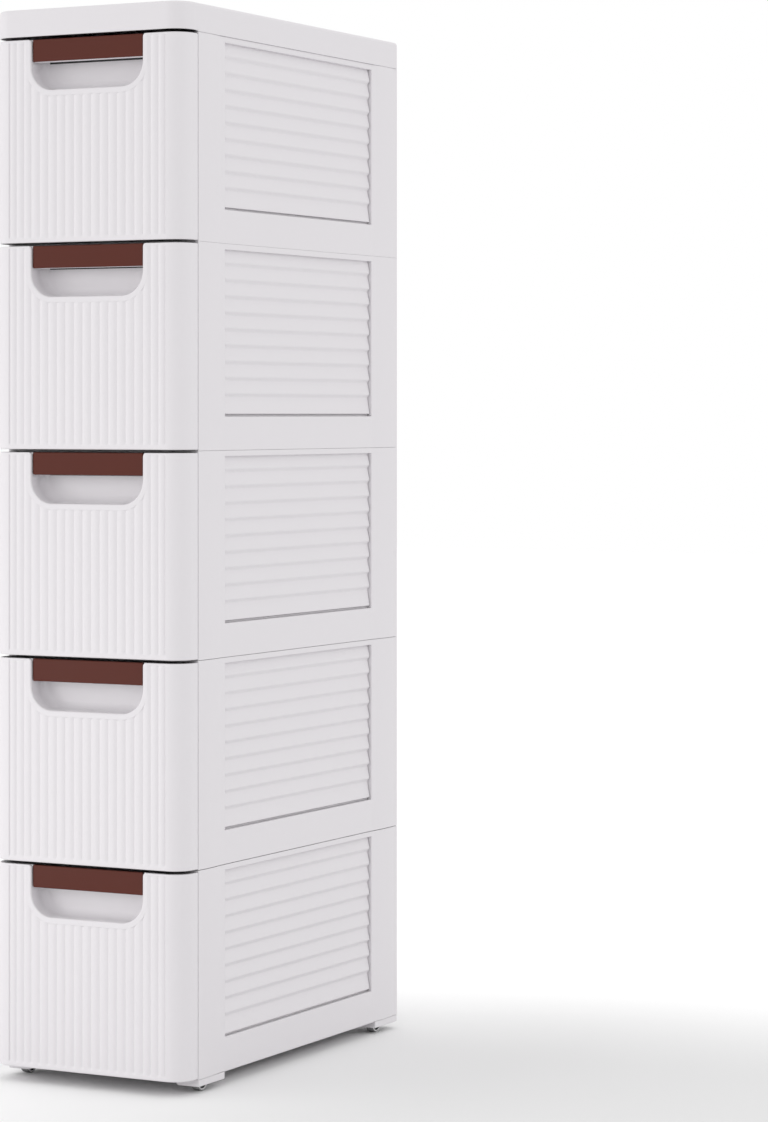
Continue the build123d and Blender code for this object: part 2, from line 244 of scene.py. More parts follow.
def maths(tree, operation, *values, clamp=False):
    node = addNode(tree, "ShaderNodeMath", operation=operation, use_clamp=clamp)
    for socket, value in zip(node.inputs, values):
        feed(tree, socket, value)
    return node.outputs[0]


def ramp(tree, value, start, end):
    node = addNode(tree, "ShaderNodeMapRange", interpolation_type="SMOOTHSTEP")
    return fill(tree, node, {"Value": value, "From Min": start, "From Max": end}).outputs["Result"]


def objectPlace(tree):
    return addNode(tree, "ShaderNodeTexCoord").outputs["Object"]


def noise(tree, place, scale, detail):
    return wired(tree, "ShaderNodeTexNoise", Vector=place, Scale=scale, Detail=detail).outputs["Fac"]


def newGroup(kind, name, inputs, outputs):
    # inputs and outputs as the kind of socket for each label
    tree = bpy.data.node_groups.new(name, kind)
    for way, sockets in (("INPUT", inputs), ("OUTPUT", outputs)):
        for label, socketKind in sockets.items():
            tree.interface.new_socket(label, in_out=way, socket_type="NodeSocket" + socketKind)
    return tree, tree.nodes.new("NodeGroupInput"), tree.nodes.new("NodeGroupOutput")


def runTree(holder, tree, values):
    modifier = holder.modifiers.new(tree.name, "NODES")
    modifier.node_group = tree
    for item in tree.interface.items_tree:
        if item.item_type == "SOCKET" and item.in_out == "INPUT" and item.name in values:
            modifier[item.identifier] = values[item.name]


# ---- shared shader effects

effects = {
    "cloudScale": 34.0,      # broad soft clouds in the tone
    "cloudShare": 0.4,
    "edgeGain": 4.0,         # from the turn of the normal to the mask
    "upFrom": 0.6,           # how level a face is before dust lies on it
    "filmScale": 60.0,
    "shaderSamples": 4,
}


def mouldedGrainGroup():
    # fine spark grain on a slightly uneven moulded skin
    tree, given, out = newGroup("ShaderNodeTree", "mouldedGrain",
                                {"grainScale": "Float", "swellScale": "Float", "grainShare": "Float"},
                                {"Height": "Float", "Tone": "Float"})
    place = objectPlace(tree)
    grain = noise(tree, place, given.outputs["grainScale"], 2.0)
    swell = noise(tree, place, given.outputs["swellScale"], 1.0)
    cloud = noise(tree, place, effects["cloudScale"], 4.0)
    fine = maths(tree, "MULTIPLY", grain, given.outputs["grainShare"])
    feed(tree, out.inputs["Height"], maths(tree, "ADD", fine, swell))
    mixed = maths(tree, "MULTIPLY", swell, 1 - effects["cloudShare"])
    feed(tree, out.inputs["Tone"], maths(tree, "MULTIPLY_ADD", cloud, effects["cloudShare"], mixed))
    return tree


def softEdgesGroup():
    # edges as a mould leaves them: a rounded normal, and a mask of where they are
    tree, given, out = newGroup("ShaderNodeTree", "softEdges", {"edgeRadius": "Float"},
                                {"Normal": "Vector", "Mask": "Float"})
    bevel = addNode(tree, "ShaderNodeBevel", samples=effects["shaderSamples"])
    feed(tree, bevel.inputs["Radius"], given.outputs["edgeRadius"])
    surface = addNode(tree, "ShaderNodeNewGeometry")
    dot = addNode(tree, "ShaderNodeVectorMath", operation="DOT_PRODUCT")
    feed(tree, dot.inputs[0], bevel.outputs["Normal"])
    feed(tree, dot.inputs[1], surface.outputs["Normal"])
    away = maths(tree, "SUBTRACT", 1.0, dot.outputs["Value"])
    feed(tree, out.inputs["Mask"], maths(tree, "MULTIPLY", away, effects["edgeGain"], clamp=True))
    feed(tree, out.inputs["Normal"], bevel.outputs["Normal"])
    return tree


def paintedCreaseShadeGroup():
    # painted shade: the grey of grooves, seams and inner corners, from how closed in a place is (ambient
    # occlusion)
    tree, given, out = newGroup("ShaderNodeTree", "paintedCreaseShade", {"reach": "Float", "start": "Float"},
                                {"Mask": "Float"})
    hollow = addNode(tree, "ShaderNodeAmbientOcclusion", samples=effects["shaderSamples"])
    feed(tree, hollow.inputs["Distance"], given.outputs["reach"])
    feed(tree, out.inputs["Mask"], ramp(tree, hollow.outputs["AO"], given.outputs["start"], 0.0))
    return tree


def dustGroup():
    # a thin uneven film on what faces up
    tree, given, out = newGroup("ShaderNodeTree", "settledDust", {"dust": "Float"}, {"Mask": "Float"})
    surface = addNode(tree, "ShaderNodeNewGeometry")
    split = wired(tree, "ShaderNodeSeparateXYZ", Vector=surface.outputs["Normal"])
    up = ramp(tree, split.outputs["Z"], effects["upFrom"], 1.0)
    film = maths(tree, "MULTIPLY", up, noise(tree, objectPlace(tree), effects["filmScale"], 5.0))
    feed(tree, out.inputs["Mask"], maths(tree, "MULTIPLY", film, given.outputs["dust"], clamp=True))
    return tree


grainGroup = mouldedGrainGroup()
edgesGroup = softEdgesGroup()
creaseShadeNodes = paintedCreaseShadeGroup()
filmGroup = dustGroup()
print("shader groups built")


# ---- finishes

def grey(level):
    return (level,) * 3


def bareMaterial(name):
    material = bpy.data.materials.new(name)
    material.use_nodes = True
    material.node_tree.nodes.clear()
    return material, material.node_tree


def toOutput(tree, shader, kind="Material"):
    output = addNode(tree, "ShaderNodeOutput" + kind)
    tree.links.new(shader.outputs[0], output.inputs["Surface"])


def placeGroup(tree, group, finish):
    # the inputs of a group bear the names of the finish's values
    node = addNode(tree, "ShaderNodeGroup", node_tree=group)
    return fill(tree, node, {socket.name: finish[socket.name] for socket in node.inputs})


def mixColours(tree, share, first, second):
    node = addNode(tree, "ShaderNodeMix", data_type="RGBA")
    feed(tree, node.inputs["Factor"], share)
    for label, value in (("A", first), ("B", second)):
        socket = [s for s in node.inputs if s.name == label and s.type == "RGBA"][0]
        feed(tree, socket, value if isinstance(value, bpy.types.NodeSocket) else (*value, 1.0))
    return [s for s in node.outputs if s.type == "RGBA"][0]


def maskedMix(tree, node, share, first, second):
    return mixColours(tree, maths(tree, "MULTIPLY", node.outputs["Mask"], share), first, second)


def addRelief(tree, shader, grain, edges, finish):
    bump = wired(tree, "ShaderNodeBump", Strength=1.0, Distance=finish["relief"],
                 Height=grain.outputs["Height"], Normal=edges.outputs["Normal"])
    feed(tree, shader.inputs["Normal"], bump.outputs["Normal"])


def mouldedPlastic(name, changes):
    finish = {**whiteFinish, **changes}
    material, tree = bareMaterial(name)
    shader = addNode(tree, "ShaderNodeBsdfPrincipled")
    toOutput(tree, shader)
    grain, edges = placeGroup(tree, grainGroup, finish), placeGroup(tree, edgesGroup, finish)
    creaseShade, gap = (placeGroup(tree, creaseShadeNodes, {"reach": reach, "start": start})
                   for reach, start in (finish["creaseShade"], finish["gap"]))
    dust = placeGroup(tree, filmGroup, finish)
    body = mixColours(tree, grain.outputs["Tone"], finish["shade"], finish["colour"])
    # lighter colour on the edges: partly wear, partly a painted highlight
    wornAndHighlighted = maskedMix(tree, edges, finish["edgeWearAndHighlightShare"], body, finish["edgeWearAndHighlightColour"])
    # painted shade: grey mixed into creases, seams and corners by how closed in they are
    creaseShaded = maskedMix(tree, creaseShade, finish["creaseShadeShare"], wornAndHighlighted, finish["creaseShadeColour"])
    dusty = mixColours(tree, dust.outputs["Mask"], creaseShaded, finish["dustColour"])
    labels = ("Value", "From Min", "From Max", "To Min", "To Max")
    levels = (grain.outputs["Tone"], *finish["toneRange"], *finish["roughness"])
    rough = fill(tree, addNode(tree, "ShaderNodeMapRange"), dict(zip(labels, levels))).outputs["Result"]
    polished = maths(tree, "MULTIPLY_ADD", edges.outputs["Mask"], -finish["edgePolish"], rough)
    # painted shade: the gap mask turns deep narrow gaps near black in the base colour
    fill(tree, shader, {
        "Base Color": maskedMix(tree, gap, finish["gapShadeShare"], dusty, finish["gapShadeColour"]),
        "Roughness": maths(tree, "MULTIPLY_ADD", dust.outputs["Mask"], finish["dustRough"], polished),
        "IOR": finish["ior"], "Specular IOR Level": finish["specular"]})
    addRelief(tree, shader, grain, edges, finish)
    return material


whiteFinish = {
    "colour": (0.805, 0.780, 0.805),
    "shade": (0.780, 0.756, 0.781),
    "roughness": (0.42, 0.52),
    "toneRange": (0.3, 0.7),
    "ior": 1.48,
    "specular": 0.5,
    "grainScale": 1500.0,
    "swellScale": 9.0,
    "grainShare": 0.06,
    "relief": 0.00010,
    "edgeRadius": 0.0004,
    "edgeWearAndHighlightShare": 0.5,
    "edgePolish": 0.08,
    "edgeWearAndHighlightColour": (0.86, 0.855, 0.86),
    "creaseShade": (0.006, 0.5),          # painted crease shade: reach, and how open a place may be
    "creaseShadeShare": 0.15,
    "creaseShadeColour": (0.45, 0.44, 0.45),
    "gap": (0.014, 0.30),            # painted shade: only deep narrow gaps turn dark
    "gapShadeShare": 0.95,
    "gapShadeColour": grey(0.01),
    "dust": 0.12,
    "dustRough": 0.3,
    "dustColour": (0.66, 0.64, 0.61),
}

finishChanges = {
    "frontPlastic": {"colour": (0.815, 0.790, 0.815), "shade": (0.790, 0.766, 0.791)},
    "panelPlastic": {"gapShadeShare": 0.6},
    "tubPlastic": {"colour": (0.785, 0.763, 0.785), "shade": (0.755, 0.733, 0.756),
                   "roughness": (0.34, 0.44), "edgeRadius": 0.0008, "dust": 0.25},
    "barPlastic": {"colour": (0.104, 0.024, 0.015), "shade": (0.090, 0.020, 0.013), "specular": 0.2,
                   "roughness": (0.44, 0.56), "grainShare": 0.12, "edgeWearAndHighlightColour": (0.16, 0.055, 0.040),
                   "edgeWearAndHighlightShare": 0.3, "creaseShadeColour": (0.03, 0.015, 0.012),
                   "dustColour": (0.25, 0.2, 0.18), "dust": 0.08},
    "rollerPlastic": {"colour": (0.36, 0.36, 0.37), "shade": (0.30, 0.30, 0.31), "roughness": (0.45, 0.6),
                      "edgeWearAndHighlightColour": grey(0.5), "creaseShadeColour": grey(0.05)},
    "paintedSlotShadeAndDarkDish": {"colour": (0.050, 0.050, 0.052), "shade": (0.040, 0.040, 0.042), "specular": 0.3,
                    "edgeWearAndHighlightColour": grey(0.09), "creaseShadeColour": grey(0.02), "dust": 0.05},
    "socketPlastic": {"colour": (0.70, 0.68, 0.70), "shade": (0.64, 0.62, 0.64)},
    "rimPlastic": {"colour": (0.86, 0.85, 0.86), "shade": (0.82, 0.81, 0.82), "creaseShadeShare": 0.05},
}

steelFinish = {
    "colour": (0.60, 0.60, 0.61),
    "shade": (0.42, 0.42, 0.43),
    "roughness": (0.2, 0.25),        # the least, and what the tone adds
    "grainScale": 2600.0,
    "swellScale": 60.0,
    "grainShare": 0.5,
    "relief": 0.00002,
    "edgeRadius": 0.0002,
}


def turnedSteel(name, finish):
    material, tree = bareMaterial(name)
    shader = wired(tree, "ShaderNodeBsdfPrincipled", Metallic=1.0)
    toOutput(tree, shader)
    grain, edges = placeGroup(tree, grainGroup, finish), placeGroup(tree, edgesGroup, finish)
    least, more = finish["roughness"]
    fill(tree, shader, {
        "Base Color": mixColours(tree, grain.outputs["Tone"], finish["shade"], finish["colour"]),
        "Roughness": maths(tree, "MULTIPLY_ADD", grain.outputs["Tone"], more, least)})
    addRelief(tree, shader, grain, edges, finish)
    return material


finishes = {name: mouldedPlastic(name, change) for name, change in finishChanges.items()}
finishes["axleSteel"] = turnedSteel("axleSteel", steelFinish)
print("finishes built:", len(finishes))


# ---- camera, floor and light

view = {
    "place": (1.8266, -3.0734, 0.6559),
    "turn": 27.75,
    "lens": 111.54,
    "sensor": 36.0,
    "shiftY": -0.1314,
    "reach": (0.05, 60.0),
}


def makeCamera():
    data = bpy.data.cameras.new("camera")
    data.lens = view["lens"]
    data.sensor_width = view["sensor"]
    data.sensor_fit = "AUTO"
    data.shift_y = view["shiftY"]
    data.clip_start, data.clip_end = view["reach"]
    camera = placed("camera", data)
    camera.location = view["place"]
    camera.rotation_euler = (math.radians(90), 0, math.radians(view["turn"]))
    scene.camera = camera


studio = {
    "floorSize": 24.0,
    "floorColour": 0.80,
    "floorSeen": (0.835, 1.0, 1.22),     # in the painted broad soft shadow, beside it, and cleared to white far off
    "shadeX": (-0.15, 0.35),
    "clearY": (0.10, 0.80),
    "clearAway": (0.7, 2.6),
    "skyLevel": 0.92,
    "lamps": [
        # place, aim, size, watts, colour
        ((-2.9, -1.9, 1.0), (0.0, 0.0, 0.45), 2.2, 18.0, (1.0, 0.995, 0.99)),
        ((-0.5, -1.0, 0.2), (0.0, -0.2, 0.05), 0.3, 0.75, (1.0, 0.995, 0.99)),
        ((3.0, 0.3, 1.6), (0.1, 0.0, 0.5), 2.2, 6.0, (0.99, 0.995, 1.0)),
    ],
}


def seenRays(tree):
    # 1 for what the camera sees straight, mirrored or through something, 0 for the light it gives
    rays = addNode(tree, "ShaderNodeLightPath")
    both = maths(tree, "ADD", rays.outputs["Is Camera Ray"], rays.outputs["Is Glossy Ray"])
    return maths(tree, "ADD", both, rays.outputs["Is Transmission Ray"], clamp=True)


def makeFloor():
    size = studio["floorSize"] / 2
    mesh = bpy.data.meshes.new("floor")
    corners = [(-size, -size, 0), (size, -size, 0), (size, size, 0), (-size, size, 0)]
    mesh.from_pydata(corners, [], [(0, 1, 2, 3)])
    floor = placed("floor", mesh)
    material, tree = bareMaterial("paleFloor")
    place = objectPlace(tree)
    split = wired(tree, "ShaderNodeSeparateXYZ", Vector=place)
    away = addNode(tree, "ShaderNodeVectorMath", operation="LENGTH")
    feed(tree, away.inputs[0], place)
    clear = maths(tree, "MAXIMUM", ramp(tree, split.outputs["Y"], *studio["clearY"]),
                  ramp(tree, away.outputs["Value"], *studio["clearAway"]))
    shade, beside, farOff = (grey(level) for level in studio["floorSeen"])
    # painted shadow: the floor's seen colour darkens towards +X, beside the tower
    near = mixColours(tree, ramp(tree, split.outputs["X"], *studio["shadeX"]), beside, shade)
    seen = mixColours(tree, clear, near, farOff)
    paint = mixColours(tree, seenRays(tree), grey(studio["floorColour"]), seen)
    toOutput(tree, wired(tree, "ShaderNodeBsdfDiffuse", Color=paint))
    mesh.materials.append(material)


def makeLight():
    world = bpy.data.worlds.new("sky")
    scene.world = world
    world.use_nodes = True
    tree = world.node_tree
    tree.nodes.clear()
    colour = mixColours(tree, seenRays(tree), grey(studio["skyLevel"]), grey(1.0))
    toOutput(tree, wired(tree, "ShaderNodeBackground", Color=colour), "World")
    for number, (place, aim, size, watts, colour) in enumerate(studio["lamps"]):
        data = bpy.data.lights.new("lamp" + str(number), "AREA")
        data.size = size
        data.energy = watts
        data.color = colour
        lamp = placed("lamp" + str(number), data)
        lamp.location = place
        lamp.visible_camera = False
        lamp.rotation_euler = (Vector(aim) - Vector(place)).to_track_quat("-Z", "Y").to_euler()


makeCamera()
makeFloor()
makeLight()
scene.view_settings.view_transform = "Standard"
print("camera, floor and light set")


# ---- fluted drawer fronts

drawerFront = {
    "rearY": -0.1949,
    "low": 0.001,
    "high": 0.200,
    "cornerRadius": 0.020,
    "cornerSteps": 18,
    "edgeRadius": 0.0012,
    "fluteDepth": 0.001,
    "centreFlutes": 13,
    "sideFlutes": 3,
    "centreBand": 0.1282,
    "slope": 0.0008,                 # from the plain corner down into the first groove
    "stepsAcross": 10,
    "runOutLow": (0.0032, 0.0066),   # the grooves run out above the lower edge
    "runOutHigh": (0.0012, 0.0030),
    "runOutSteps": (5, 4),
    "middleRows": (0.02, 0.05, 0.08, 0.11, 0.14, 0.16, 0.18),
    "wall": 0.0032,
    "returnWall": 0.0025,
    "rearRound": 0.0008,
    "capCentre": 0.01,               # ahead of the rear: the cap's corners are sorted round it
    "hollowSteps": 10,
    "weld": 0.00001,
}

fingerPocket = {
    "halfWidth": 0.064,
    "low": 0.150,
    "radius": 0.024,
    "depth": 0.0222,
    "wall": 0.0022,
    "rearRadius": 0.008,
    "rim": 0.007,
    "rimEdge": 0.0014,
    "mouthRadius": 0.0016,
    "topFlare": 0.0034,              # radius of the two upper ends of the mouth
    "heights": (0.19997, 0.1997, 0.1993, 0.1988, 0.1981, 0.1973, 0.1965, 0.190),
    "slotLow": 0.1772,               # behind the bar the rear wall is painted near black: painted shade standing in for a slot
    "turnSteps": 14,
    "roundSteps": 6,
    "lap": 0.0039,                   # how far its skins reach behind the face
}

# what is cut out of the front: for the pocket, and for the bar
pocketCut = {"ahead": 0.005, "depth": 0.0037, "high": 0.22}
barCut = {"ahead": 0.006, "rear": -0.2082, "low": 0.186, "high": 0.23, "edge": 0.00005, "steps": 1}


def smoothStep(value, start, end):
    share = min(max((value - start) / (end - start), 0.0), 1.0)
    return share * share * (3 - 2 * share)


def frontRows(part):
    # heights and insets of the rows of vertices, closest where the grooves run out
    lower, upper = edgeRows(part["low"], part["high"], part["edgeRadius"])
    start, end = part["runOutLow"]
    lowSteps, highSteps = part["runOutSteps"]
    inside = [part["low"] + start + (end - start) * step / lowSteps for step in range(lowSteps + 1)]
    inside += part["middleRows"]
    start, end = part["runOutHigh"]
    inside += [part["high"] - end + (end - start) * step / highSteps for step in range(highSteps)]
    return lower + [(z, 0.0) for z in inside] + upper


def grooveShare(part, z):
    # how deep the grooves are at this height, from 0 to 1
    start, end = part["runOutLow"]
    below = smoothStep(z - part["low"], start, end)
    start, end = part["runOutHigh"]
    return below * smoothStep(part["high"] - z, start, end)


def reedMesh(part, rows):
    # one flute, 1 wide, to be set out in a row
    bm = bmesh.new()
    rings = []
    for step in range(part["stepsAcross"] + 1):
        across = step / part["stepsAcross"] - 0.5
        dip = part["fluteDepth"] * (2 * across) ** 2
        rings.append([bm.verts.new((across, tower["faceY"] + inset + dip * grooveShare(part, z), z))
                      for z, inset in rows])
    gridFaces(bm, rings)
    mesh = bpy.data.meshes.new("reed")
    bm.to_mesh(mesh)
    bm.free()
    return mesh


rowInputs = {"Centre Count": "Int", "Side Count": "Int", "Centre Band": "Float", "Side Step": "Float",
             "End": "Float"}


def grooveTree():
    # X of a groove from its number: wide flutes in the middle, narrower ones at each side
    tree, given, out = newGroup("GeometryNodeTree", "grooveAt", {"Number": "Float", **rowInputs},
                                {"X": "Float"})
    number, centre, side, band, sideStep, end = given.outputs[:6]
    place = maths(tree, "SUBTRACT", number, side)
    inCentre = maths(tree, "MINIMUM", maths(tree, "MAXIMUM", place, 0.0), centre)
    x = maths(tree, "MULTIPLY", inCentre, maths(tree, "DIVIDE", band, centre))
    x = maths(tree, "SUBTRACT", x, maths(tree, "MULTIPLY", band, 0.5))
    x = maths(tree, "MULTIPLY_ADD", maths(tree, "SUBTRACT", place, inCentre), sideStep, x)
    x = maths(tree, "MAXIMUM", maths(tree, "MINIMUM", x, end), maths(tree, "MULTIPLY", end, -1.0))
    feed(tree, out.inputs["X"], x)
    return tree


def endTree(tree, given, out, geometry):
    paint = wired(tree, "GeometryNodeSetMaterial", Geometry=geometry, Material=given.outputs["Material"])
    feed(tree, out.inputs["Geometry"], paint.outputs["Geometry"])
    return tree


def reedTree(weld):
    # one flute set out as a row, each as wide as the space between two grooves
    tree, given, out = newGroup("GeometryNodeTree", "reedRow",
                                {"Geometry": "Geometry", **rowInputs, "Material": "Material"},
                                {"Geometry": "Geometry"})
    count = maths(tree, "MULTIPLY_ADD", given.outputs["Side Count"], 2.0, given.outputs["Centre Count"])
    line = wired(tree, "GeometryNodeMeshLine", Count=count)
    index = addNode(tree, "GeometryNodeInputIndex").outputs["Index"]
    places = grooveTree()
    ends = []
    for shift in (0.0, 1.0):
        groove = addNode(tree, "GeometryNodeGroup", node_tree=places)
        feed(tree, groove.inputs["Number"], maths(tree, "ADD", index, shift))
        for label in rowInputs:
            feed(tree, groove.inputs[label], given.outputs[label])
        ends.append(groove.outputs["X"])
    middle = wired(tree, "ShaderNodeCombineXYZ", X=maths(tree, "MULTIPLY", maths(tree, "ADD", *ends), 0.5))
    wide = wired(tree, "ShaderNodeCombineXYZ", X=maths(tree, "SUBTRACT", ends[1], ends[0]), Y=1.0, Z=1.0)
    spread = wired(tree, "GeometryNodeSetPosition", Geometry=line.outputs["Mesh"], Position=middle.outputs[0])
    stand = wired(tree, "GeometryNodeInstanceOnPoints", Points=spread.outputs["Geometry"],
                  Instance=given.outputs["Geometry"], Scale=wide.outputs[0])
    real = wired(tree, "GeometryNodeRealizeInstances", Geometry=stand.outputs["Instances"])
    merge = wired(tree, "GeometryNodeMergeByDistance", Geometry=real.outputs["Geometry"], Distance=weld)
    return endTree(tree, given, out, merge.outputs["Geometry"])


def addCorner(bm, part, rows, side):
    # plain round corner and side return, joined to the outermost groove
    half = tower["halfWidth"]
    face = tower["faceY"]
    bend = half - part["cornerRadius"]
    rear, rearRound = part["rearY"], part["rearRound"]
    path = filletPath([(half - 1.5 * rearRound, rear), (half, rear), (half, face), (bend, face)],
                      [0, rearRound, part["cornerRadius"]], part["cornerSteps"])[:-1]
    normals = [-normal for normal in outwards(path)]
    # the rear rounding only moves sideways, or its small radius would fold over
    rearPoints = part["cornerSteps"] + 2
    normals[:rearPoints] = [Vector((1, 0))] * rearPoints
    normals[-1] = Vector((0, -1))
    rings = [wallRow(bm, point, normal, rows, side) for point, normal in zip(path, normals)]
    inX = side * (bend - part["slope"])
    rings.append([bm.verts.new((inX, face + inset + part["fluteDepth"] * grooveShare(part, z), z))
                  for z, inset in rows])
    gridFaces(bm, rings)


def addCap(bm, part, z):
    # the edge vertices at this height, from left to right, closed along the rear
    edge = [vert for vert in bm.verts if abs(vert.co.z - z) < 1e-6]
    middleY = part["rearY"] - part["capCentre"]
    edge.sort(key=lambda vert: math.atan2(vert.co.x, middleY - vert.co.y))
    bm.faces.new(edge)


def addHollow(bm, part):
    # the inner skin, open at the rear; gives back the corners of the opening
    half = tower["halfWidth"] - part["returnWall"]
    front = tower["faceY"] + part["wall"]
    radius = part["cornerRadius"] - part["wall"]
    path = filletPath([(half, part["rearY"]), (half, front), (-half, front), (-half, part["rearY"])],
                      [0, radius, radius], part["hollowSteps"])
    heights = (part["low"] + part["returnWall"], part["high"] - part["returnWall"])
    rings = [[bm.verts.new((point.x, point.y, z)) for z in heights] for point in path]
    gridFaces(bm, rings)
    ringEnds(bm, rings)
    return rings[0] + rings[-1]


def pocketPath(part, grow):
    # left to right round the U, as X and Z; its upper ends turn outwards
    radius = part["radius"] + grow
    bend = part["low"] + part["radius"]
    centreX = part["halfWidth"] - part["radius"]
    flare = part["topFlare"]
    share = 1 - min(max(grow / part["rim"], 0.0), 1.0)
    right = [(part["halfWidth"] + grow, part["slotLow"])]
    for z in reversed(part["heights"]):
        past = max(z - (part["heights"][0] - flare), 0.0)
        right.append((part["halfWidth"] + grow + share * (flare - math.sqrt(flare ** 2 - past ** 2)), z))
    angles = quarterTurn(part["turnSteps"])
    half = [(centreX + radius * math.sin(angle), bend - radius * math.cos(angle)) for angle in angles] + right
    return [(-x, z) for x, z in reversed(half)] + half


def addPocket(bm, part, front):
    # the cup: sections as growth of the U over Y, first the hidden skin, then the seen one
    face = tower["faceY"]
    rim, edge, mouth, rear = (part[name] for name in ("rim", "rimEdge", "mouthRadius", "rearRadius"))
    straight = face + part["depth"] - rear
    outer = rear + part["wall"]
    quarter = quarterTurn(part["roundSteps"])
    hidden = [(-rear + outer * math.cos(a), straight + outer * math.sin(a)) for a in reversed(quarter)]
    hidden.append((part["wall"], face + part["lap"]))
    seen = [(rim, face + part["lap"]), (rim, face + edge)]
    seen += [(rim - edge * math.sin(a), face + edge * (1 - math.sin(a))) for a in quarter[2:]]
    seen += [(mouth * (1 - math.sin(a)), face + mouth * (1 - math.cos(a))) for a in quarter]
    seen += [(-rear * (1 - math.cos(a)), straight + rear * math.sin(a)) for a in quarter]
    rings = []
    for grow, y in hidden + seen:
        ring = []
        for x, z in pocketPath(part, grow):
            past = max(z - (front["high"] - front["edgeRadius"]), 0.0)
            lip = front["edgeRadius"] - math.sqrt(max(front["edgeRadius"] ** 2 - past ** 2, 0.0))
            ring.append(bm.verts.new((x, max(y, face + lip), z)))
        rings.append(ring)
    gridFaces(bm, rings)
    bm.faces.new(rings[0])
    wall, upper = rings[-1], len(part["heights"])
    bm.faces.new(wall[upper:-upper])
    # painted shade: the flat wall behind the bar takes the near-black material
    bm.faces.new(wall[:upper + 1] + wall[-upper - 1:]).material_index = 1
    fillRim(bm)


def cutter(name, build, *parts):
    bm = bmesh.new()
    build(bm, *parts)
    return placed(name, meshOf(bm, name))


def cutWith(tools):
    def change(holder):
        for tool in tools:
            boolean = holder.modifiers.new(tool.name, "BOOLEAN")
            boolean.operation = "DIFFERENCE"
            boolean.solver = "EXACT"
            boolean.object = tool
    return change


def pocketHole(bm, part, cut):
    # under the rounded edge of the rim, so that the rim lies on the flutes
    shape = pocketPath(part, part["rim"] - part["rimEdge"])
    shape = [(shape[0][0], cut["high"])] + shape + [(shape[-1][0], cut["high"])]
    prism(bm, [[(x, y, z) for x, z in shape]
               for y in (tower["faceY"] - cut["ahead"], tower["faceY"] + cut["depth"])])


def barRoom(bm, part, cut):
    half = part["halfWidth"]
    roundBox(bm, (-half, tower["faceY"] - cut["ahead"], cut["low"]), (half, cut["rear"], cut["high"]),
             cut["edge"], cut["steps"])


lugs = {
    "spread": 0.140,
    "heights": (0.029, 0.119),
    "post": 0.005,
    "postFront": -0.2205,
    "postEdge": 0.0004,
    "width": 0.003,
    "thick": 0.0015,
    "barb": 0.0012,
    "inset": 0.0002,         # keeps the barb's corners off the tongue's
    "edge": 0.0003,
    "root": 0.001,
    "tubY": -0.1981,
    "end": -0.1957,
}


def addLugs(bm, part):
    # on each post a tongue that goes through the tub's wall, and a barb behind the wall
    post, width, thick, inset = (part[name] for name in ("post", "width", "thick", "inset"))
    tip = part["end"] + part["barb"]
    for x in (-part["spread"] / 2, part["spread"] / 2):
        for z in part["heights"]:
            roundBox(bm, (x - post, part["postFront"], z - post), (x + post, part["tubY"], z + post),
                     part["postEdge"])
            roundBox(bm, (x - width, part["tubY"] - part["root"], z - thick), (x + width, tip, z + thick),
                     part["edge"])
            roundBox(bm, (x - width + inset, part["end"], z - thick + inset),
                     (x + width - inset, tip - inset, z + thick + part["barb"]), part["edge"])


def frontMesh(part, pocket):
    rows = frontRows(part)
    bend = tower["halfWidth"] - part["cornerRadius"]
    band = part["centreBand"]
    values = {"Centre Count": part["centreFlutes"], "Side Count": part["sideFlutes"], "Centre Band": band,
              "Side Step": (bend - band / 2) / part["sideFlutes"], "End": bend - part["slope"],
              "Material": finishes["frontPlastic"]}
    tree = reedTree(part["weld"])
    reeds = evaluated(reedMesh(part, rows), lambda holder: runTree(holder, tree, values))
    bm = bmesh.new()
    bm.from_mesh(reeds)
    for side in (-1, 1):
        addCorner(bm, part, rows, side)
    bmesh.ops.remove_doubles(bm, verts=bm.verts, dist=part["weld"])
    for z in (part["low"], part["high"]):
        addCap(bm, part, z)
    fillRim(bm, addHollow(bm, part))
    skin = meshOf(bm, "frontSkin")
    tools = [cutter("pocketHole", pocketHole, pocket, pocketCut), cutter("barRoom", barRoom, pocket, barCut)]
    skin = evaluated(skin, cutWith(tools))
    for tool in tools:
        bpy.data.objects.remove(tool)
    # the flutes' own material slot is dropped: index 0 is the white, 1 the painted shade on the wall behind
    # the bar
    for polygon in skin.polygons:
        polygon.material_index = 0
    bm = bmesh.new()
    addPocket(bm, pocket, part)
    addLugs(bm, lugs)
    cup = meshOf(bm, "pocket")
    bm = bmesh.new()
    bm.from_mesh(skin)
    bm.from_mesh(cup)
    return evaluated(meshOf(bm, "front"), flatShading)


def onEachDrawer(name, shape, materials, replaced):
    for number in range(1, tower["tiers"] + 1):
        piece(name + str(number), shape, "drawer_" + str(number),
              [finishes[material] for material in materials], [replaced + str(number)], seamOf(number))


frontShape = frontMesh(drawerFront, fingerPocket)
onEachDrawer("drawerFront_", frontShape, ("frontPlastic", "paintedSlotShadeAndDarkDish"), "drawer_front_")
print("drawer fronts:", len(frontShape.polygons), "faces each")


# ---- handle bars

handleBar = {
    "halfLength": 0.0632,
    "front": -0.2205,
    "rear": -0.2085,
    "low": 0.178,
    "high": 0.200,
    "edge": 0.0012,
    "edgeSteps": 5,
    "flat": 0.97,            # the least turn of a normal that counts as the underside or the rear
    "tenonHalf": 0.0662,
    "tenonRoot": 0.002,
    "tenonEdge": 0.0004,
    "tenonY": (-0.2175, -0.2115),
    "tenonZ": (0.184, 0.194),
}


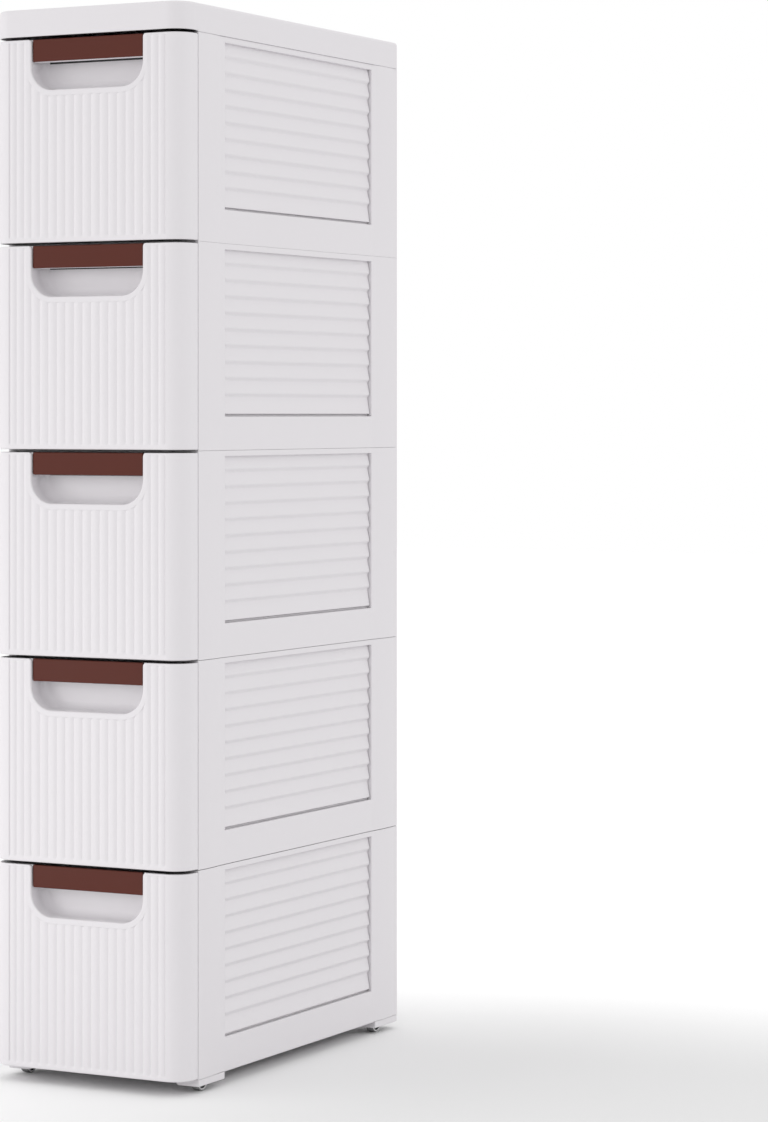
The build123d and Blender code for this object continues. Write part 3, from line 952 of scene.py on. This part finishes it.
def barMesh(part):
    bm = bmesh.new()
    half = part["halfLength"]
    roundBox(bm, (-half, part["front"], part["low"]), (half, part["rear"], part["high"]), part["edge"],
             part["edgeSteps"])
    for side in (-1, 1):
        ends = sorted((side * (half - part["tenonRoot"]), side * part["tenonHalf"]))
        low, high = zip(*(ends, part["tenonY"], part["tenonZ"]))
        roundBox(bm, low, high, part["tenonEdge"])
    mesh = evaluated(meshOf(bm, "bar"), flatShading)
    for polygon in mesh.polygons:
        # the brown covers a white body, which shows from below and behind
        polygon.material_index = int(polygon.normal.z < -part["flat"] or polygon.normal.y > part["flat"])
    return mesh


onEachDrawer("handleBar_", barMesh(handleBar), ("barPlastic", "frontPlastic"), "handle_")
print("handle bars done")


# ---- louvred side panels

sidePanel = {
    "innerX": 0.100,
    "bandX": 0.1088,
    "edgeX": 0.1095,
    "crestX": 0.110,
    "rearX": 0.1093,
    "frontStrip": 0.044,
    "frontCrest": 0.020,
    "rearStrip": (0.1655, 0.2145),
    "fieldY": (-0.1415, 0.1635),
    "fieldZ": (0.033, 0.1962),
    "floorX": 0.1038,
    "skin": 0.002,
    "flange": 0.0022,
    "seams": (0.00015, 0.00005, 0.00015, 0.00035, 0.0005),   # above each tier's panel, from the top
    "inside": (0.0035, 0.1985),      # heights of the hollow between the flanges
    "edgeRadius": 0.0003,
    "edgeSteps": 3,
    "leadRadius": 0.0005,
    "leadSteps": 4,
    "cornerRadius": 0.0012,
    "cornerSteps": 5,
    "fieldEdge": 0.0006,
    "fieldSteps": 4,
    "stripSteps": (16, 14),
    "sharpAngle": 28,
}

slatRow = {
    "count": 9,
    "steps": 24,
    "root": 0.001,           # behind the floor of the field
    "pitch": 0.016,
    "lastPitch": 0.0172,     # the lowest slat ends square above the slot
    "lastFall": 0.03,
    "valley": 0.0007,        # from the floor of the field
    "lip": 0.0030,
    "fall": 0.25,            # share of the pitch in which a slat turns back to the valley
    "straight": 0.55,        # the rest of its slope is soft
    "stagger": 0.00001,      # between the end of one slat and the start of the next
    "tuck": 0.0003,          # into the front wall of the field
    "rearGap": 0.0012,
}

rail = {
    "x": 0.094,
    "outX": 0.1075,
    "fieldX": 0.1023,        # it stands back behind the louvre field
    "z": (0.1732, 0.1757),
    "endY": 0.2164,
    "stopX": 0.0917,
    "stopY": (-0.1895, -0.1865),
    "stopRoot": 0.0025,
    "edge": 0.0004,
}


def curveThrough(points, steps):
    # a shallow bow through three points, as X over Y
    start, end = points[0][1], points[-1][1]
    path = []
    for step in range(steps + 1):
        y = start + (end - start) * step / steps
        shares = [math.prod((y - other[1]) / (here[1] - other[1]) for other in points if other != here)
                  for here in points]
        path.append(Vector((sum(share * here[0] for share, here in zip(shares, points)), y)))
    return path


def panelPath(part):
    # the outer skin in plan, and which stretch of it is the louvre field
    start, end = tower["panelY"], tower["panelEndY"]
    innerX, edgeX, bandX = part["innerX"], part["edgeX"], part["bandX"]
    crestX, rearX = part["crestX"], part["rearX"]
    frontSteps, rearSteps = part["stripSteps"]
    front = curveThrough([(edgeX, start), (crestX, start + part["frontCrest"]),
                          (bandX, start + part["frontStrip"])], frontSteps)
    y0, y1 = part["rearStrip"]
    rear = curveThrough([(bandX, y0), (crestX, (y0 + y1) / 2), (rearX, y1)], rearSteps)
    lead = filletPath([(innerX, start), (edgeX, start), tuple(front[1])], [0, part["leadRadius"]],
                      part["leadSteps"])[:-1]
    tail = filletPath([tuple(rear[-1]), (rearX, end), (innerX, end)], [0, part["cornerRadius"]],
                      part["cornerSteps"])
    edge = part["fieldEdge"]
    field = [Vector((bandX, part["fieldY"][0] - edge)), Vector((bandX, part["fieldY"][1] + edge))]
    return lead + front[1:] + field + rear + tail[1:], len(lead) + len(front) - 1


def addField(bm, part, rim):
    # rounded edge, walls and floor of the louvre field; rim is its four corners on the band
    edge = part["fieldEdge"]
    levels = [(edge * math.sin(turn), part["bandX"] - edge * (1 - math.cos(turn)))
              for turn in quarterTurn(part["fieldSteps"])[1:]]
    made = [rim]
    for shift, x in levels + [(edge, part["floorX"])]:
        made.append([bm.verts.new((x, vert.co.y + signY * shift, vert.co.z + signZ * shift))
                     for vert, (signY, signZ) in zip(rim, ((1, 1), (-1, 1), (-1, -1), (1, -1)))])
    bandFaces(bm, made)
    bm.faces.new(made[-1])


def addPanelHollow(bm, part):
    # the inner skin, with the back of the louvre field standing in it
    x0, x1 = part["innerX"], part["bandX"] - part["skin"]
    y0, y1 = tower["panelY"] + part["flange"], tower["panelEndY"] - part["flange"]
    z0, z1 = part["inside"]
    wall = part["skin"]
    backY0, backY1 = part["fieldY"][0] - wall, part["fieldY"][1] + wall
    backZ0, backZ1 = part["fieldZ"][0] - wall, part["fieldZ"][1] + wall
    columns = [(x0, y0), (x1, y0), (x1, backY0), (x1, backY1), (x1, y1), (x0, y1)]
    rings = [[bm.verts.new((x, y, z)) for z in (z0, backZ0, backZ1, z1)] for x, y in columns]
    gridFaces(bm, rings, skip={(2, 1)})
    ringEnds(bm, rings)
    rim = [rings[2][1], rings[3][1], rings[3][2], rings[2][2]]
    back = [bm.verts.new((part["floorX"] - wall, vert.co.y, vert.co.z)) for vert in rim]
    bandFaces(bm, [rim, back])
    bm.faces.new(back)


def panelSkin(part, height):
    bm = bmesh.new()
    path, fieldColumn = panelPath(part)
    lower, upper = edgeRows(0.0, height, part["edgeRadius"], part["edgeSteps"])
    edge = part["fieldEdge"]
    middle = [(part["fieldZ"][0] - edge, 0.0), (part["fieldZ"][1] + edge, 0.0)]
    rows = lower + middle + upper
    rings = [wallRow(bm, point, normal, rows) for point, normal in zip(path, outwards(path))]
    fieldRow = len(lower)
    gridFaces(bm, rings, skip={(fieldColumn, fieldRow)})
    first, second = rings[fieldColumn], rings[fieldColumn + 1]
    addField(bm, part, [first[fieldRow], second[fieldRow], second[fieldRow + 1], first[fieldRow + 1]])
    ringEnds(bm, rings)
    addPanelHollow(bm, part)
    fillRim(bm)
    return bm


def addRail(bm, part, panel):
    y0, y1 = panel["fieldY"][0] - panel["skin"], panel["fieldY"][1] + panel["skin"]
    start, end = tower["panelY"], part["endY"]
    x, outX, fieldX = part["x"], part["outX"], part["fieldX"]
    outline = [(x, start), (outX, start), (outX, y0), (fieldX, y0),
               (fieldX, y1), (outX, y1), (outX, end), (x, end)]
    roundEdges(bm, prism(bm, [[(*place, z) for place in outline] for z in part["z"]]), part["edge"])
    low, high = part["z"]
    roundBox(bm, (part["stopX"], part["stopY"][0], low), (x + part["stopRoot"], part["stopY"][1], high),
             part["edge"])


def slatMesh(part, panel, top, pitch, fall):
    # it slopes out to its soft lower lip and turns back
    floor, steps, straight = panel["floorX"], part["steps"], part["straight"]
    turn = 1 - fall
    section = [(floor - part["root"], 0.0)]
    for step in range(steps + 1):
        down = step / steps
        if down < turn:
            share = straight * down / turn + (1 - straight) * (1 - math.cos(math.pi * down / turn)) / 2
        else:
            share = (1 + math.cos(math.pi * (down - turn) / fall)) / 2
        section.append((floor + part["valley"] + (part["lip"] - part["valley"]) * share,
                        (part["stagger"] - pitch) * down))
    section.append((floor - part["root"], section[-1][1]))
    y0, y1 = panel["fieldY"][0] - part["tuck"], panel["fieldY"][1] - part["rearGap"]
    bm = bmesh.new()
    ends = [[bm.verts.new((x, y, top + z)) for x, z in section] for y in (y0, y1)]
    gridFaces(bm, ends)
    bm.faces.new((ends[0][0], ends[0][-1], ends[1][-1], ends[1][0]))
    for end in ends:
        bm.faces.new(end)
    return meshOf(bm, "slat")


def slatTree():
    # copies of one slat, hung below each other
    tree, given, out = newGroup(
        "GeometryNodeTree", "slatRow",
        {"Geometry": "Geometry", "Count": "Int", "Pitch": "Float", "Material": "Material"},
        {"Geometry": "Geometry"})
    step = wired(tree, "ShaderNodeCombineXYZ", Z=maths(tree, "MULTIPLY", given.outputs["Pitch"], -1.0))
    line = wired(tree, "GeometryNodeMeshLine", Count=given.outputs["Count"], Offset=step.outputs[0])
    hang = wired(tree, "GeometryNodeInstanceOnPoints", Points=line.outputs["Mesh"],
                 Instance=given.outputs["Geometry"])
    real = wired(tree, "GeometryNodeRealizeInstances", Geometry=hang.outputs["Instances"])
    return endTree(tree, given, out, real.outputs["Geometry"])


def panelMesh(tree, part, row, height):
    values = {"Count": row["count"], "Pitch": row["pitch"], "Material": finishes["panelPlastic"]}
    top, pitch = part["fieldZ"][1], row["pitch"]
    slat = slatMesh(row, part, top, pitch, row["fall"])
    slats = evaluated(slat, lambda holder: runTree(holder, tree, values))
    bm = panelSkin(part, height)
    addRail(bm, rail, part)
    bm.from_mesh(slats)
    bm.from_mesh(slatMesh(row, part, top - row["count"] * pitch, row["lastPitch"], row["lastFall"]))
    return evaluated(meshOf(bm, "panel", part["sharpAngle"]), flatShading)


def mirrored(mesh, sharpAngle):
    bm = bmesh.new()
    bm.from_mesh(mesh)
    bmesh.ops.transform(bm, matrix=Matrix.Scale(-1, 4, (1, 0, 0)), verts=bm.verts)
    return evaluated(meshOf(bm, "mirrored", sharpAngle), flatShading)


slatRowTree = slatTree()
for number, seam in enumerate(sidePanel["seams"], 1):
    rightShape = panelMesh(slatRowTree, sidePanel, slatRow, tower["pitch"] - seam)
    for word, shape in (("right", rightShape), ("left", mirrored(rightShape, sidePanel["sharpAngle"]))):
        piece(word + "Panel_" + str(number), shape, "carcass", [finishes["panelPlastic"]],
              ["side_" + word + "_" + str(number)], seamOf(number))
print("side panels:", len(rightShape.polygons), "faces each")


# ---- lid

lid = {
    "low": 1.024,
    "frontRise": 0.001,      # of the lower edge over the drawer
    "riseBelow": 0.004,      # up to this height the wall rises with it
    "riseGap": 0.0003,       # length of the step at its end
    "high": 1.052,
    "frontRadius": 0.020,
    "rearRadius": 0.005,
    "topRadius": 0.0035,
    "topSteps": 7,
    "lowRadius": 0.0005,
    "lowSteps": 3,
    "cornerSteps": 14,
    "wall": 0.0025,
    "ribs": 4,
    "ribThick": 0.002,
    "ribHeight": 0.012,
    "ribRoot": 0.001,
    "ribEdge": 0.0003,
}


def lidMesh(part):
    half, face = tower["halfWidth"], tower["faceY"]
    step, gap, wall = drawerFront["rearY"], part["riseGap"], part["wall"]
    front, rear = part["frontRadius"], part["rearRadius"]
    corners = [(0, face), (half, face), (half, step), (half, step + gap), (half, -face), (-half, -face),
               (-half, step + gap), (-half, step), (-half, face), (0, face)]
    path = filletPath(corners, [0, front, 0, 0, rear, rear, 0, 0, front], part["cornerSteps"])[:-1]
    lower = edgeRows(part["low"], part["high"], part["lowRadius"], part["lowSteps"])[0]
    upper = edgeRows(part["low"], part["high"], part["topRadius"], part["topSteps"])[1]
    inside = [(part["high"] - wall, wall), (part["low"] + part["lowRadius"], wall)]
    inside += [(z, wall - inset) for z, inset in reversed(lower)][1:]
    bm = bmesh.new()
    rings = []
    for point, normal in zip(path, outwards(path, True)):
        rise = part["frontRise"] if point.y < step + gap / 2 else 0.0
        rows = [(z + (rise if z < part["low"] + part["riseBelow"] else 0.0), inset)
                for z, inset in inside + lower + upper]
        rings.append(wallRow(bm, point, normal, rows))
    gridFaces(bm, rings, closed=True)
    ringEnds(bm, rings)
    thick, roof = part["ribThick"] / 2, part["high"] - wall
    for number in range(1, part["ribs"] + 1):
        y = face - number * 2 * face / (part["ribs"] + 1)
        roundBox(bm, (-half + wall / 2, y - thick, roof - part["ribHeight"]),
                 (half - wall / 2, y + thick, roof + part["ribRoot"]), part["ribEdge"])
    return evaluated(meshOf(bm, "lid"), flatShading)


piece("lidCover", lidMesh(lid), "carcass", [finishes["panelPlastic"]], ["lid"])
print("lid done")


# ---- rollers

roller = {
    "x": 0.0985,
    "y": {"front": -0.1740, "rear": 0.1865},
    "z": 0.010,
    "radius": 0.010,
    "halfWidth": 0.0043,
    "dish": 0.0014,
    "dishSlope": 0.0003,
    "rim": 0.0022,
    "hub": 0.0036,
    "bore": 0.00155,
    "boreEdge": 0.0002,
    "edge": 0.0004,
    "treadEdge": 0.0012,
    "edgeSteps": 4,
    "segments": 56,
}


def wheelMesh(part):
    half, radius, slope = part["halfWidth"], part["radius"], part["dishSlope"]
    web, rimRadius = half - part["dish"], radius - part["rim"]
    corners = [(0.0, part["bore"]), (half, part["bore"]), (half, part["hub"]), (web, part["hub"] + slope),
               (web, rimRadius - slope), (half, rimRadius), (half, radius), (0.0, radius)]
    right = filletPath(corners, [0, part["boreEdge"], *[part["edge"]] * 4, part["treadEdge"]],
                       part["edgeSteps"])
    profile = right + [Vector((-point.x, point.y)) for point in reversed(right[1:-1])]
    bm = bmesh.new()
    rings = []
    for step in range(part["segments"]):
        angle = 2 * math.pi * step / part["segments"]
        rings.append([bm.verts.new((point.x, point.y * math.cos(angle), point.y * math.sin(angle)))
                      for point in profile])
    bandFaces(bm, rings + rings[:1])
    mesh = meshOf(bm, "wheel")
    for polygon in mesh.polygons:
        # tread, white rim, dark dish
        x, away = abs(polygon.center.x), math.hypot(polygon.center.y, polygon.center.z)
        tread = away > radius - part["treadEdge"] / 2
        polygon.material_index = 0 if tread else int(x < half - slope) + 1
    return mesh


wheelShape = wheelMesh(roller)
for end in ("front", "rear"):
    for side, x in (("left", -roller["x"]), ("right", roller["x"])):
        corner = end + "_" + side
        shape = wheelShape.copy()
        shape.transform(Matrix.Translation((x, roller["y"][end], roller["z"])))
        piece("wheel_" + corner, shape, "wheel_" + corner,
              [finishes[name] for name in ("rollerPlastic", "rimPlastic", "paintedSlotShadeAndDarkDish")],
              ["roller_wheel_" + corner])
print("rollers done")


# ---- what stays from the frame

carried = {"tubPlastic": ("drawer_tub",), "panelPlastic": ("shelf", "back", "base"),
           "socketPlastic": ("roller_housing",), "axleSteel": ("roller_axle",)}
for name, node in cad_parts.items():
    for finish, starts in carried.items():
        if name.startswith(starts):
            node.data.materials.clear()
            node.data.materials.append(finishes[finish])
print("carried pieces dressed")
